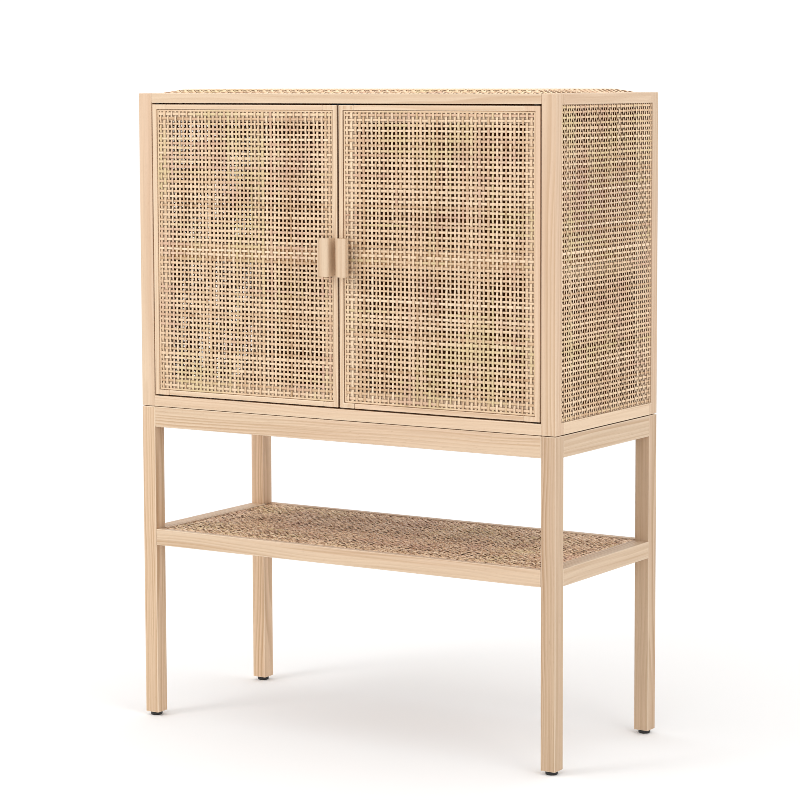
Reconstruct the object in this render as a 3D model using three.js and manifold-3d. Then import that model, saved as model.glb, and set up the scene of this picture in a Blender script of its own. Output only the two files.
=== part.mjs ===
// A two-door cane cabinet on an open four-legged stand with a lower shelf.
// Millimetres. +Z is up, +X is the cabinet's right as one faces it, and the doors face -Y.
// The origin is on the floor, under the middle of the cabinet's outline with its handles.
import * as THREE from "three";
import { mergeVertices } from "three/addons/utils/BufferGeometryUtils.js";
import Module from "manifold-3d";

const wasm = await Module();
wasm.setup();

// ---------- Driving dimensions ----------
const WIDTH = 800;
const DEPTH = 344;
const HEIGHT = 1062; // top of the posts and rails
const HANDLE_PROUD = 21;
const GAP = 0.3; // between pieces that touch

// Stand
const FOOT_HEIGHT = 6;
const FOOT_RADIUS = 10;
const NAIL_RADIUS = 2;
const NAIL_LENGTH = 14;
const LEG = 26; // square section of the legs and of the case's posts
const STAND_TOP = 534;
const APRON_HEIGHT = 34.5;
const APRON_THICK = 20;
const SHELF_TOP = 324.5; // lower shelf, top of its rails
const SHELF_RAIL_HEIGHT = 27.5;
const SHELF_SIDE_RAIL = 30;
const RIM = 12; // wood left in front of and behind the cane on the top and the lower shelf

// Case
const CASE_GAP = 1; // shadow line between the stand and the case
const TOP_RAIL = 16;
const BOTTOM_RAIL = 18;
const SIDE_TOP_RAIL = 24;
const SIDE_BOTTOM_RAIL = 26;
const SIDE_LEDGE = 7; // rebate that holds the side cane
const BACK_THICK = 5;
const BACK_INSET = 5;
const FLOOR_THICK = 9;
const INNER_SHELF_THICK = 15;
const CLEAT = 12;
const CLEAT_HEIGHT = 20;
const BEHIND_DOORS = 22; // the inner shelf and its cleats start this far behind the front

// Cane and the boards under it
const CANE = 3;
const CANE_INSET = 1; // how far the side and door cane lies below the wood around it
const BOARD = 6;
const TOP_CROWN = 7; // how far the top cane's flat middle stands above its border
const CROWN_SLOPE = 30; // width of the slope from that border up to the flat middle

// Doors
const DOOR_GAP = 2.6;
const CENTRE_GAP = 3.2;
const DOOR_THICK = 17;
const DOOR_FRAME = 28;
const DOOR_LIP = 8;
const MID_RAIL = 30;

// Pivots: each door turns on a pin at its top and its bottom, near its outer front corner
const PIVOT_IN = 8.5; // from the door's outer edge
const PIVOT_BACK = 5.5; // from the door's front face
const PIN_RADIUS = 2;
const PIN_IN_DOOR = 6.5;
const PIN_IN_RAIL = 8;
const WASHER_RADIUS = 4.8;
const WASHER_THICK = 1;

// Handles: an L section, its stem beside the meeting edge and its grip pointing away from it
const HANDLE_HEIGHT = 62;
const HANDLE_WIDTH = 21;
const HANDLE_FROM_EDGE = 5;
const STEM = 9;
const GRIP = 10;
const HANDLE_ROUND = 5;
const HANDLE_EASE = 1.5;

// Magnetic catch and its strike plates
const CATCH_WIDTH = 46;
const CATCH_DEPTH = 14;
const CATCH_HEIGHT = 11;
const STRIKE = [16, 1.2, 9];
const STRIKE_FROM_EDGE = 3;

// ---------- Derived positions ----------
const LEFT = -WIDTH / 2;
const FRONT = (HANDLE_PROUD - DEPTH) / 2;
const REAR = FRONT + DEPTH;
const INNER_LEFT = LEFT + LEG; // inner faces of the left leg and post
const INNER_FRONT = FRONT + LEG;
const INNER_REAR = REAR - LEG;
const CASE_BOTTOM = STAND_TOP + CASE_GAP;
const OPENING_BOTTOM = CASE_BOTTOM + BOTTOM_RAIL;
const OPENING_TOP = HEIGHT - TOP_RAIL;
const DOOR_BOTTOM = OPENING_BOTTOM + DOOR_GAP;
const DOOR_TOP = OPENING_TOP - DOOR_GAP;
const DOOR_MIDDLE = (DOOR_BOTTOM + DOOR_TOP) / 2;
const DOOR_OUTER = INNER_LEFT + DOOR_GAP;
const DOOR_INNER = -CENTRE_GAP / 2;
const CANE_REBATE = CANE_INSET + CANE + GAP;
const COVER_REBATE = CANE + BOARD + 3 * GAP; // board and cane dropped into a rail's top
const SIDE_CANE_LOW = CASE_BOTTOM + SIDE_BOTTOM_RAIL - SIDE_LEDGE;
const SIDE_CANE_HIGH = HEIGHT - SIDE_TOP_RAIL + SIDE_LEDGE;
const PIVOT_X = DOOR_OUTER + PIVOT_IN;
const PIVOT_Y = FRONT + PIVOT_BACK;

// ---------- Materials ----------
const wood = new THREE.MeshStandardMaterial({ color: 0xe2c39c, roughness: 0.62, metalness: 0 });
const plywood = new THREE.MeshStandardMaterial({ color: 0xd3b287, roughness: 0.7, metalness: 0 });
const cane = new THREE.MeshStandardMaterial({ color: 0xd2b184, roughness: 0.5, metalness: 0 });
const steel = new THREE.MeshStandardMaterial({ color: 0xa8a8a4, roughness: 0.35, metalness: 1 });
const plastic = new THREE.MeshStandardMaterial({ color: 0x191919, roughness: 0.5, metalness: 0 });

// ---------- Solid helpers ----------
function solidOf(geometry) {
  const bare = geometry.clone();
  bare.deleteAttribute("normal");
  bare.deleteAttribute("uv");
  const merged = mergeVertices(bare, 1e-4);
  return new wasm.Manifold(
    new wasm.Mesh({
      numProp: 3,
      vertProperties: merged.attributes.position.array,
      triVerts: new Uint32Array(merged.index.array),
    }),
  );
}

function geometryOf(solid) {
  const mesh = solid.getMesh();
  const geometry = new THREE.BufferGeometry();
  geometry.setAttribute("position", new THREE.BufferAttribute(mesh.vertProperties, 3));
  geometry.setIndex(new THREE.BufferAttribute(mesh.triVerts, 1));
  geometry.computeVertexNormals();
  return geometry;
}

// A box between two corners.
function block(low, high) {
  const [x, y, z] = high.map((value, i) => value - low[i]);
  const centre = high.map((value, i) => (value + low[i]) / 2);
  return new THREE.BoxGeometry(x, y, z).translate(...centre);
}

// An upright cylinder, for boring a hole.
function bore(x, y, low, high, radius) {
  const cylinder = new THREE.CylinderGeometry(radius, radius, high - low, 24);
  return cylinder.rotateX(Math.PI / 2).translate(x, y, (low + high) / 2);
}

function named(name, geometry, material) {
  const mesh = new THREE.Mesh(geometry, material);
  mesh.name = name;
  return mesh;
}

// A solid as a mesh that is placed by its centre.
function placed(name, material, solid) {
  const bounds = solid.boundingBox();
  const centre = bounds.max.map((value, i) => (value + bounds.min[i]) / 2);
  const geometry = geometryOf(solid).translate(...centre.map((value) => -value));
  const mesh = named(name, geometry, material);
  mesh.position.set(...centre);
  return mesh;
}

// A straight piece between two corners, less the shapes cut out of it.
function plank(name, material, low, high, cuts = []) {
  let solid = solidOf(block(low, high));
  for (const cut of cuts) solid = solid.subtract(solidOf(cut));
  return placed(name, material, solid);
}

// A round piece from a profile of [radius, height] pairs that starts and ends on the axis.
function turned(name, material, profile, x, y, z) {
  const points = profile.map(([radius, height]) => new THREE.Vector2(radius, height));
  const geometry = new THREE.LatheGeometry(points, 24).rotateX(Math.PI / 2);
  const mesh = named(name, geometry, material);
  mesh.position.set(x, y, z);
  return mesh;
}

// The same pieces at the left and, mirrored, at the right.
const SIDES = [
  ["left", 1],
  ["right", -1],
];
function bothSides(build) {
  const pair = new THREE.Group();
  for (const [side, mirror] of SIDES) {
    const half = new THREE.Group();
    half.scale.x = mirror;
    half.add(...build(side));
    pair.add(half);
  }
  return pair;
}

// Front and rear: where a leg or post starts, and the depth range of the rail between two of them.
const ENDS = [
  ["front", FRONT, INNER_FRONT],
  ["rear", INNER_REAR, REAR],
];

// ---------- Stand ----------
function leg(side, end, low, high) {
  const x = LEFT + LEG / 2;
  const y = (low + high) / 2;
  const nailHole = bore(x, y, 0, FOOT_HEIGHT + NAIL_LENGTH + 2, NAIL_RADIUS + GAP);
  const bottom = FOOT_HEIGHT + GAP;
  return plank(
    `leg_${end}_${side}`,
    wood,
    [LEFT, low, bottom],
    [INNER_LEFT, high, STAND_TOP],
    [nailHole],
  );
}

// A nail-on glide: a low disc with eased edges and a nail that goes up into the leg.
function foot(side, end, low, high) {
  const ease = 1.2;
  const profile = [
    [0, 0],
    [FOOT_RADIUS - ease, 0],
    [FOOT_RADIUS, ease],
    [FOOT_RADIUS, FOOT_HEIGHT - ease],
    [FOOT_RADIUS - ease, FOOT_HEIGHT],
    [NAIL_RADIUS, FOOT_HEIGHT],
    [NAIL_RADIUS, FOOT_HEIGHT + NAIL_LENGTH],
    [0, FOOT_HEIGHT + NAIL_LENGTH],
  ];
  return turned(`foot_${end}_${side}`, plastic, profile, LEFT + LEG / 2, (low + high) / 2, 0);
}

// The top of a long rail is rebated behind its rim, so the board and the cane drop in flush.
function coverRebate(end, low, high, top) {
  const floor = top - COVER_REBATE;
  const near = end === "front" ? low + RIM : low - 1;
  const far = end === "front" ? high + 1 : high - RIM;
  return block([LEFT, near, floor], [-LEFT, far, top + 1]);
}

function stand() {
  const group = new THREE.Group();
  group.add(
    bothSides((side) =>
      ENDS.flatMap(([end, low, high]) => [leg(side, end, low, high), foot(side, end, low, high)]),
    ),
  );

  const apronLow = STAND_TOP - APRON_HEIGHT;
  const shelfLow = SHELF_TOP - SHELF_RAIL_HEIGHT;
  const halfSpan = -INNER_LEFT - GAP;
  for (const [end, low, high] of ENDS) {
    const near = end === "front" ? low : high - APRON_THICK;
    const apron = plank(
      `apron_${end}`,
      wood,
      [-halfSpan, near, apronLow],
      [halfSpan, near + APRON_THICK, STAND_TOP],
    );
    const rail = plank(
      `lower_shelf_rail_${end}`,
      wood,
      [-halfSpan, low, shelfLow],
      [halfSpan, high, SHELF_TOP],
      [coverRebate(end, low, high, SHELF_TOP)],
    );
    group.add(apron, rail);
  }
  group.add(
    bothSides((side) => [
      plank(
        `apron_${side}`,
        wood,
        [LEFT, INNER_FRONT + GAP, apronLow],
        [LEFT + APRON_THICK, INNER_REAR - GAP, STAND_TOP],
      ),
      plank(
        `lower_shelf_rail_${side}`,
        wood,
        [LEFT, INNER_FRONT + GAP, shelfLow],
        [LEFT + SHELF_SIDE_RAIL, INNER_REAR - GAP, SHELF_TOP],
      ),
    ]),
  );
  group.add(...cover("lower_shelf", -LEFT - SHELF_SIDE_RAIL, SHELF_TOP));
  return group;
}

// A plywood board with a sheet of cane on it, let in level with the rails around it.
function cover(name, halfWidth, top) {
  const x = halfWidth - GAP;
  const near = FRONT + RIM + GAP;
  const far = REAR - RIM - GAP;
  const caneLow = top - GAP - CANE;
  const boardHigh = caneLow - GAP;
  return [
    plank(`${name}_board`, plywood, [-x, near, boardHigh - BOARD], [x, far, boardHigh]),
    plank(`${name}_cane`, cane, [-x, near, caneLow], [x, far, caneLow + CANE]),
  ];
}

// The same, but crowned: from its border it slopes up to a flat middle.
function crownedCover(name, halfWidth, top) {
  const x = halfWidth - GAP;
  const near = FRONT + RIM + GAP;
  const far = REAR - RIM - GAP;
  const flat = (z, inset) => [
    [inset - x, near + inset, z],
    [x - inset, near + inset, z],
    [x - inset, far - inset, z],
    [inset - x, far - inset, z],
  ];
  const crowned = (low, high) =>
    wasm.Manifold.hull([
      ...flat(low, 0),
      ...flat(high, 0),
      ...flat(high + TOP_CROWN, CROWN_SLOPE),
    ]);
  const caneLow = top - GAP - CANE;
  const boardHigh = caneLow - GAP;
  const below = wasm.Manifold.hull([
    ...flat(caneLow - 1, -1),
    ...flat(caneLow, -1),
    ...flat(caneLow, 0),
    ...flat(caneLow + TOP_CROWN, CROWN_SLOPE),
  ]);
  return [
    placed(`${name}_board`, plywood, crowned(boardHigh - BOARD, boardHigh)),
    placed(`${name}_cane`, cane, crowned(caneLow, caneLow + CANE).subtract(below)),
  ];
}

// ---------- Case ----------
// A post is rebated on its outer side, where the side cane lies.
function post(side, end, low, high) {
  const towardsMiddle = end === "front" ? [high - SIDE_LEDGE, high + 1] : [low - 1, low + SIDE_LEDGE];
  const rebate = block(
    [LEFT - 1, towardsMiddle[0], SIDE_CANE_LOW],
    [LEFT + CANE_REBATE, towardsMiddle[1], SIDE_CANE_HIGH],
  );
  return plank(
    `post_${end}_${side}`,
    wood,
    [LEFT, low, CASE_BOTTOM],
    [INNER_LEFT, high, HEIGHT],
    [rebate],
  );
}

function sideFrame(side) {
  const near = INNER_FRONT + GAP;
  const far = INNER_REAR - GAP;
  const ledgeFace = LEFT + CANE_REBATE;
  const topRail = plank(
    `case_top_rail_${side}`,
    wood,
    [LEFT, near, HEIGHT - SIDE_TOP_RAIL],
    [INNER_LEFT, far, HEIGHT],
    [block([LEFT - 1, near - 1, 0], [ledgeFace, far + 1, SIDE_CANE_HIGH])],
  );
  const bottomRail = plank(
    `case_bottom_rail_${side}`,
    wood,
    [LEFT, near, CASE_BOTTOM],
    [INNER_LEFT, far, CASE_BOTTOM + SIDE_BOTTOM_RAIL],
    [block([LEFT - 1, near - 1, SIDE_CANE_LOW], [ledgeFace, far + 1, HEIGHT])],
  );
  const sheet = plank(
    `side_cane_${side}`,
    cane,
    [LEFT + CANE_INSET, INNER_FRONT - SIDE_LEDGE + GAP, SIDE_CANE_LOW + GAP],
    [LEFT + CANE_INSET + CANE, INNER_REAR + SIDE_LEDGE - GAP, SIDE_CANE_HIGH - GAP],
  );
  const shelfBottom = DOOR_MIDDLE - INNER_SHELF_THICK / 2;
  const cleat = plank(
    `shelf_cleat_${side}`,
    wood,
    [INNER_LEFT + GAP, FRONT + BEHIND_DOORS, shelfBottom - GAP - CLEAT_HEIGHT],
    [INNER_LEFT + CLEAT, REAR - BACK_INSET - BACK_THICK - GAP, shelfBottom - GAP],
  );
  return [topRail, bottomRail, sheet, cleat];
}

function pivotHoles(low, high) {
  return [PIVOT_X, -PIVOT_X].map((x) => bore(x, PIVOT_Y, low, high, PIN_RADIUS + GAP));
}

function caseBody() {
  const group = new THREE.Group();
  group.add(
    bothSides((side) => [
      ...ENDS.map(([end, low, high]) => post(side, end, low, high)),
      ...sideFrame(side),
    ]),
  );

  const halfSpan = -INNER_LEFT - GAP;
  const holeDepth = PIN_IN_RAIL + 1;
  for (const [end, low, high] of ENDS) {
    const isFront = end === "front";
    const topHoles = isFront ? pivotHoles(OPENING_TOP - 1, OPENING_TOP + holeDepth) : [];
    const bottomHoles = isFront ? pivotHoles(OPENING_BOTTOM - holeDepth, OPENING_BOTTOM + 1) : [];
    group.add(
      plank(
        `case_top_rail_${end}`,
        wood,
        [-halfSpan, low, OPENING_TOP],
        [halfSpan, high, HEIGHT],
        [coverRebate(end, low, high, HEIGHT), ...topHoles],
      ),
      plank(
        `case_bottom_rail_${end}`,
        wood,
        [-halfSpan, low, CASE_BOTTOM],
        [halfSpan, high, OPENING_BOTTOM],
        bottomHoles,
      ),
    );
  }

  group.add(...crownedCover("top", -INNER_LEFT, HEIGHT));
  const backFar = REAR - BACK_INSET;
  group.add(
    plank(
      "back_panel",
      plywood,
      [-halfSpan, backFar - BACK_THICK, OPENING_BOTTOM + GAP],
      [halfSpan, backFar, OPENING_TOP - GAP],
    ),
    plank(
      "bottom_board",
      plywood,
      [-halfSpan, INNER_FRONT + GAP, OPENING_BOTTOM - FLOOR_THICK],
      [halfSpan, INNER_REAR - GAP, OPENING_BOTTOM],
    ),
    plank(
      "inner_shelf",
      plywood,
      [-halfSpan, FRONT + BEHIND_DOORS, DOOR_MIDDLE - INNER_SHELF_THICK / 2],
      [halfSpan, backFar - BACK_THICK - GAP, DOOR_MIDDLE + INNER_SHELF_THICK / 2],
    ),
  );

  const strikeBack = FRONT + DOOR_THICK + GAP + STRIKE[1];
  const catchTop = OPENING_TOP - GAP;
  group.add(
    plank(
      "magnetic_catch",
      plastic,
      [-CATCH_WIDTH / 2, strikeBack + GAP, catchTop - CATCH_HEIGHT],
      [CATCH_WIDTH / 2, strikeBack + GAP + CATCH_DEPTH, catchTop],
    ),
  );
  return group;
}

// A pin with a thin washer at its middle: one end is pressed into the rail, the other turns in the door.
function pivot(name, railFace, towardsDoor) {
  const washerNear = GAP;
  const washerFar = GAP + WASHER_THICK;
  const tip = DOOR_GAP + PIN_IN_DOOR;
  const profile = [
    [0, -PIN_IN_RAIL],
    [PIN_RADIUS, -PIN_IN_RAIL],
    [PIN_RADIUS, washerNear],
    [WASHER_RADIUS, washerNear],
    [WASHER_RADIUS, washerFar],
    [PIN_RADIUS, washerFar],
    [PIN_RADIUS, tip - 1],
    [PIN_RADIUS - 1, tip],
    [0, tip],
  ];
  const mesh = turned(name, steel, profile, PIVOT_X, PIVOT_Y, railFace);
  if (towardsDoor < 0) mesh.rotation.x = Math.PI;
  return mesh;
}

// ---------- Doors ----------
// The cane lies in the frame's front, inside a lip that runs all the way round.
function doorFrame(side) {
  const back = FRONT + DOOR_THICK;
  const pocket = block(
    [DOOR_OUTER + DOOR_LIP, FRONT - 1, DOOR_BOTTOM + DOOR_LIP],
    [DOOR_INNER - DOOR_LIP, FRONT + CANE_REBATE, DOOR_TOP - DOOR_LIP],
  );
  const holeDepth = PIN_IN_DOOR + 1;
  const pinHoles = [
    bore(PIVOT_X, PIVOT_Y, DOOR_BOTTOM - 1, DOOR_BOTTOM + holeDepth, PIN_RADIUS + GAP),
    bore(PIVOT_X, PIVOT_Y, DOOR_TOP - holeDepth, DOOR_TOP + 1, PIN_RADIUS + GAP),
  ];
  const stiles = [
    ["outer", DOOR_OUTER, [pocket, ...pinHoles]],
    ["inner", DOOR_INNER - DOOR_FRAME, [pocket]],
  ].map(([place, x, cuts]) =>
    plank(
      `door_${side}_${place}_stile`,
      wood,
      [x, FRONT, DOOR_BOTTOM],
      [x + DOOR_FRAME, back, DOOR_TOP],
      cuts,
    ),
  );
  const railNear = DOOR_OUTER + DOOR_FRAME + GAP;
  const railFar = DOOR_INNER - DOOR_FRAME - GAP;
  const rails = [
    ["bottom", DOOR_BOTTOM, DOOR_FRAME],
    ["middle", DOOR_MIDDLE - MID_RAIL / 2, MID_RAIL],
    ["top", DOOR_TOP - DOOR_FRAME, DOOR_FRAME],
  ].map(([place, z, height]) =>
    plank(
      `door_${side}_${place}_rail`,
      wood,
      [railNear, FRONT, z],
      [railFar, back, z + height],
      [pocket],
    ),
  );
  return [...stiles, ...rails];
}

// The handle's section, drawn from the meeting edge outwards: x away from the edge, y away from the door.
function handleSection() {
  const shape = new THREE.Shape();
  const inside = HANDLE_PROUD - GRIP;
  shape.moveTo(0, GAP);
  shape.lineTo(STEM, GAP);
  shape.lineTo(STEM, inside - HANDLE_EASE);
  shape.absarc(STEM + HANDLE_EASE, inside - HANDLE_EASE, HANDLE_EASE, Math.PI, Math.PI / 2, true);
  shape.lineTo(HANDLE_WIDTH - HANDLE_EASE, inside);
  shape.absarc(HANDLE_WIDTH - HANDLE_EASE, inside + HANDLE_EASE, HANDLE_EASE, -Math.PI / 2, 0, false);
  shape.lineTo(HANDLE_WIDTH, HANDLE_PROUD - HANDLE_EASE);
  shape.absarc(HANDLE_WIDTH - HANDLE_EASE, HANDLE_PROUD - HANDLE_EASE, HANDLE_EASE, 0, Math.PI / 2, false);
  shape.lineTo(HANDLE_ROUND, HANDLE_PROUD);
  shape.absarc(HANDLE_ROUND, HANDLE_PROUD - HANDLE_ROUND, HANDLE_ROUND, Math.PI / 2, Math.PI, false);
  shape.lineTo(0, GAP);
  return shape;
}

function handle(side) {
  const geometry = new THREE.ExtrudeGeometry(handleSection(), {
    depth: HANDLE_HEIGHT,
    bevelEnabled: false,
    curveSegments: 6,
  });
  const mesh = named(`door_${side}_handle`, geometry, wood);
  mesh.rotation.z = Math.PI; // the section's x then points to the door's outer edge, its y to the front
  mesh.position.set(DOOR_INNER - HANDLE_FROM_EDGE, FRONT, DOOR_MIDDLE - HANDLE_HEIGHT / 2);
  return mesh;
}

function door(side) {
  const sheet = plank(
    `door_${side}_cane`,
    cane,
    [DOOR_OUTER + DOOR_LIP + GAP, FRONT + CANE_INSET, DOOR_BOTTOM + DOOR_LIP + GAP],
    [DOOR_INNER - DOOR_LIP - GAP, FRONT + CANE_INSET + CANE, DOOR_TOP - DOOR_LIP - GAP],
  );
  const [strikeWidth, strikeThick, strikeHeight] = STRIKE;
  const strikeFar = DOOR_INNER - STRIKE_FROM_EDGE;
  const strikeNear = FRONT + DOOR_THICK + GAP;
  const strikeTop = DOOR_TOP - 1;
  const strike = plank(
    `door_${side}_strike_plate`,
    steel,
    [strikeFar - strikeWidth, strikeNear, strikeTop - strikeHeight],
    [strikeFar, strikeNear + strikeThick, strikeTop],
  );
  return [...doorFrame(side), sheet, handle(side), strike];
}

// ---------- Assembly ----------
const cabinet = new THREE.Group();
cabinet.add(stand(), caseBody());
cabinet.add(
  bothSides((side) => [
    ...door(side),
    pivot(`pivot_bottom_${side}`, OPENING_BOTTOM, 1),
    pivot(`pivot_top_${side}`, OPENING_TOP, -1),
  ]),
);

export default cabinet;
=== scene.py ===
"""Looks for a two-door cane cabinet on an open stand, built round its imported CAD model.

Metres. +Z is up, +X is the cabinet's right as one faces it, and the doors face -Y.
The CAD nodes carry the shapes of the wood, boards and fittings. The six cane sheets are woven here,
strand by strand, and the screw heads are made here too.
"""

import math

import bpy
import numpy as np
from mathutils import Matrix, Vector


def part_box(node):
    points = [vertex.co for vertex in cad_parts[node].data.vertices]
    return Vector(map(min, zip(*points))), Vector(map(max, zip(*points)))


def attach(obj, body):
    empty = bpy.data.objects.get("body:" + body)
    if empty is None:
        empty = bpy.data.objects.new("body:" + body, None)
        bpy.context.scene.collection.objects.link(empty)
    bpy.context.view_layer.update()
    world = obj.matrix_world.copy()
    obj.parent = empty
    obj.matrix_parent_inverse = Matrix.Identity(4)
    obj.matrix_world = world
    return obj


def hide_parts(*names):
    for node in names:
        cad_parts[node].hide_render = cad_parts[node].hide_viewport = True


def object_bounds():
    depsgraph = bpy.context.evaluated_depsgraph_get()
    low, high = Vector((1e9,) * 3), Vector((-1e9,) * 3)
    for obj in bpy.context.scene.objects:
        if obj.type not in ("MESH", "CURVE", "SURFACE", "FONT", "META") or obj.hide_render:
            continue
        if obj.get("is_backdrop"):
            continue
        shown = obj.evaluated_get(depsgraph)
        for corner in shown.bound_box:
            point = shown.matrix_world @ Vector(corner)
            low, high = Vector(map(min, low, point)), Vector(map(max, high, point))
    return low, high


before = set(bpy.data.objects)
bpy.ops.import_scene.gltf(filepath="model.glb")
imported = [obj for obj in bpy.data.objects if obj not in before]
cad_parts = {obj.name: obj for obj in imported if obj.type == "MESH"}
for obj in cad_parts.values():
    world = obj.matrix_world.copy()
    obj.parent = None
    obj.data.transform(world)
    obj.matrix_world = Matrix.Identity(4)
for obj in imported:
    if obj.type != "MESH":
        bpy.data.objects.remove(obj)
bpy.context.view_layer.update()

SEED = 20317
X, Y, Z = 0, 1, 2

# Cane
PITCH = 0.0080  # from one strand to the next
DOOR_COLUMN_PITCH = 0.0077  # the upright strands stand a little closer
SIDE_COLUMN_PITCH = 0.00745
STRAND_WIDTH = 0.0042
NARROWEST = 0.0031  # the limits that strand widths are held within
BROADEST = 0.0054
STRAND_THICK = 0.00095
STRAND_RISE = 0.00053  # how far a strand's middle line rises over the sheet's middle
STRAND_WANDER = 0.00028  # how far a strand strays sideways along its run
RAGGED = 0.0016  # how unevenly a loose sheet's strands are cut
RING_GAP = 0.0004  # the least distance from a strand's end to its next ring
BORDER_GAP = 0.0003  # how far short of the sheet's border a strand stops
LEFT_STRAND_WIDTH = 0.0058  # the left side's sheet is a denser one than the right side's
RIGHT_STRAND_WIDTH = 0.0038
SHEET_THICK = 0.003
CROWN_SLOPE = 0.030  # width of the slope from the top sheet's border up to its flat middle
SPLINE_WIDTH = 0.0036  # the reed pressed in round a door's cane
REED_COVER = 0.55  # share of the reed's width that the cane runs on under it
REED_STEP = 0.018  # from one ring of the reed to the next

# Wood
RING_SPACING = 0.0052
PITH_REACH = (0.035, 0.085)  # how far a piece's middle is from the pith of its tree

# Radius of the eased edges
WOOD_EASING = 0.0012
PLYWOOD_EASING = 0.0005
PLASTIC_EASING = 0.0008
STEEL_EASING = 0.00025
SCREW_EASING = 0.00008

# Screws
SCREW_RADIUS = 0.0031
SCREW_RISE = 0.0013
HANDLE_SCREW_OFFSET = 0.020  # above and below the handle's middle
HANDLE_STEM_HALF = 0.0045
CLEAT_SCREW_START = 0.03
CLEAT_SCREW_STEP = 0.125
BACK_SCREW_START = -0.34
BACK_SCREW_STEP = 0.17

# Floor and camera
FLOOR_REACH = 40.0
CAMERA_PLACE = (2.4089, -3.8023, 1.0897)
CAMERA_HEADING = 32.189
CAMERA_DIP = 5.472
CAMERA_ROLL = -0.185
CAMERA_LENS = 122.20
CAMERA_SHIFT = -0.08


def srgb(red, green, blue):
    """A colour picked as 0 to 255 display values, as the linear colour that a shader takes."""
    shares = [value / 255 for value in (red, green, blue)]
    curved = [s / 12.92 if s <= 0.04045 else ((s + 0.055) / 1.055) ** 2.4 for s in shares]
    return (*curved, 1.0)


def put_in_scene(name, data):
    made = bpy.data.objects.new(name, data)
    bpy.context.scene.collection.objects.link(made)
    return made


# ---------------------------------------------------------------- node trees
class Look:
    """A material and the few kinds of node that the looks here are made of."""

    def __init__(self, name):
        self.material = bpy.data.materials.new(name)
        self.material.use_nodes = True
        self.nodes = self.material.node_tree.nodes
        self.links = self.material.node_tree.links
        self.shader = self.nodes["Principled BSDF"]

    def put(self, socket, value):
        """Feeds a socket from another node's output, or sets it to a value."""
        if isinstance(value, bpy.types.NodeSocket):
            self.links.new(value, socket)
        else:
            socket.default_value = value

    def surface(self, name, value):
        self.put(self.shader.inputs[name], value)

    def coordinates(self):
        """The piece's own coordinates in metres, which stay with it when it moves."""
        node = self.nodes.new("ShaderNodeTexCoord")
        return node.outputs["Object"]

    def facing(self):
        """Which way the surface faces, in the piece's own axes."""
        node = self.nodes.new("ShaderNodeTexCoord")
        return node.outputs["Normal"]

    def attribute(self, name):
        node = self.nodes.new("ShaderNodeAttribute")
        node.attribute_name = name
        return node.outputs["Vector"]

    def split(self, vector):
        node = self.nodes.new("ShaderNodeSeparateXYZ")
        self.put(node.inputs[0], vector)
        return [node.outputs[i] for i in range(3)]

    def join(self, x, y, z):
        node = self.nodes.new("ShaderNodeCombineXYZ")
        for socket, value in zip(node.inputs, (x, y, z)):
            self.put(socket, value)
        return node.outputs[0]

    def math(self, operation, first, second=0.0, third=0.0):
        node = self.nodes.new("ShaderNodeMath")
        node.operation = operation
        for socket, value in zip(node.inputs, (first, second, third)):
            self.put(socket, value)
        return node.outputs[0]

    def noise(self, at, detail=2.0, roughness=0.5):
        node = self.nodes.new("ShaderNodeTexNoise")
        self.put(node.inputs["Vector"], at)
        node.inputs["Scale"].default_value = 1.0
        node.inputs["Detail"].default_value = detail
        node.inputs["Roughness"].default_value = roughness
        return node.outputs["Fac"]

    def between(self, value, low, high, to_low=0.0, to_high=1.0):
        """value carried smoothly from low..high to to_low..to_high, and held past them."""
        node = self.nodes.new("ShaderNodeMapRange")
        node.interpolation_type = "SMOOTHSTEP"
        for socket, given in zip(node.inputs, (value, low, high, to_low, to_high)):
            self.put(socket, given)
        return node.outputs[0]

    def ramp(self, factor, stops):
        node = self.nodes.new("ShaderNodeValToRGB")
        self.put(node.inputs[0], factor)
        elements = node.color_ramp.elements
        while len(elements) < len(stops):
            elements.new(0.5)
        for element, (position, colour) in zip(elements, stops):
            element.position = position
            element.color = colour
        return node.outputs["Color"]

    def mix(self, factor, first, second, blend="MIX"):
        node = self.nodes.new("ShaderNodeMix")
        node.data_type = "RGBA"
        node.blend_type = blend
        self.put(node.inputs["Factor"], factor)
        self.put(node.inputs[6], first)
        self.put(node.inputs[7], second)
        return node.outputs[2]

    def bump(self, height, distance, strength=1.0):
        node = self.nodes.new("ShaderNodeBump")
        node.inputs["Strength"].default_value = strength
        node.inputs["Distance"].default_value = distance
        self.put(node.inputs["Height"], height)
        self.put(self.shader.inputs["Normal"], node.outputs["Normal"])


def scaled(look, parts, scales, offsets):
    """A point from three coordinates, each scaled and moved, so a pattern can run along one of them."""
    moved = [
        look.math("MULTIPLY_ADD", part, scale, offset)
        for part, scale, offset in zip(parts, scales, offsets)
    ]
    return look.join(*moved)


# ---------------------------------------------------------------- wood
WOOD_LIGHT = (222, 196, 167)
WOOD_DARK = (184, 146, 108)
WOOD_PINK = (217, 185, 157)


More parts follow.
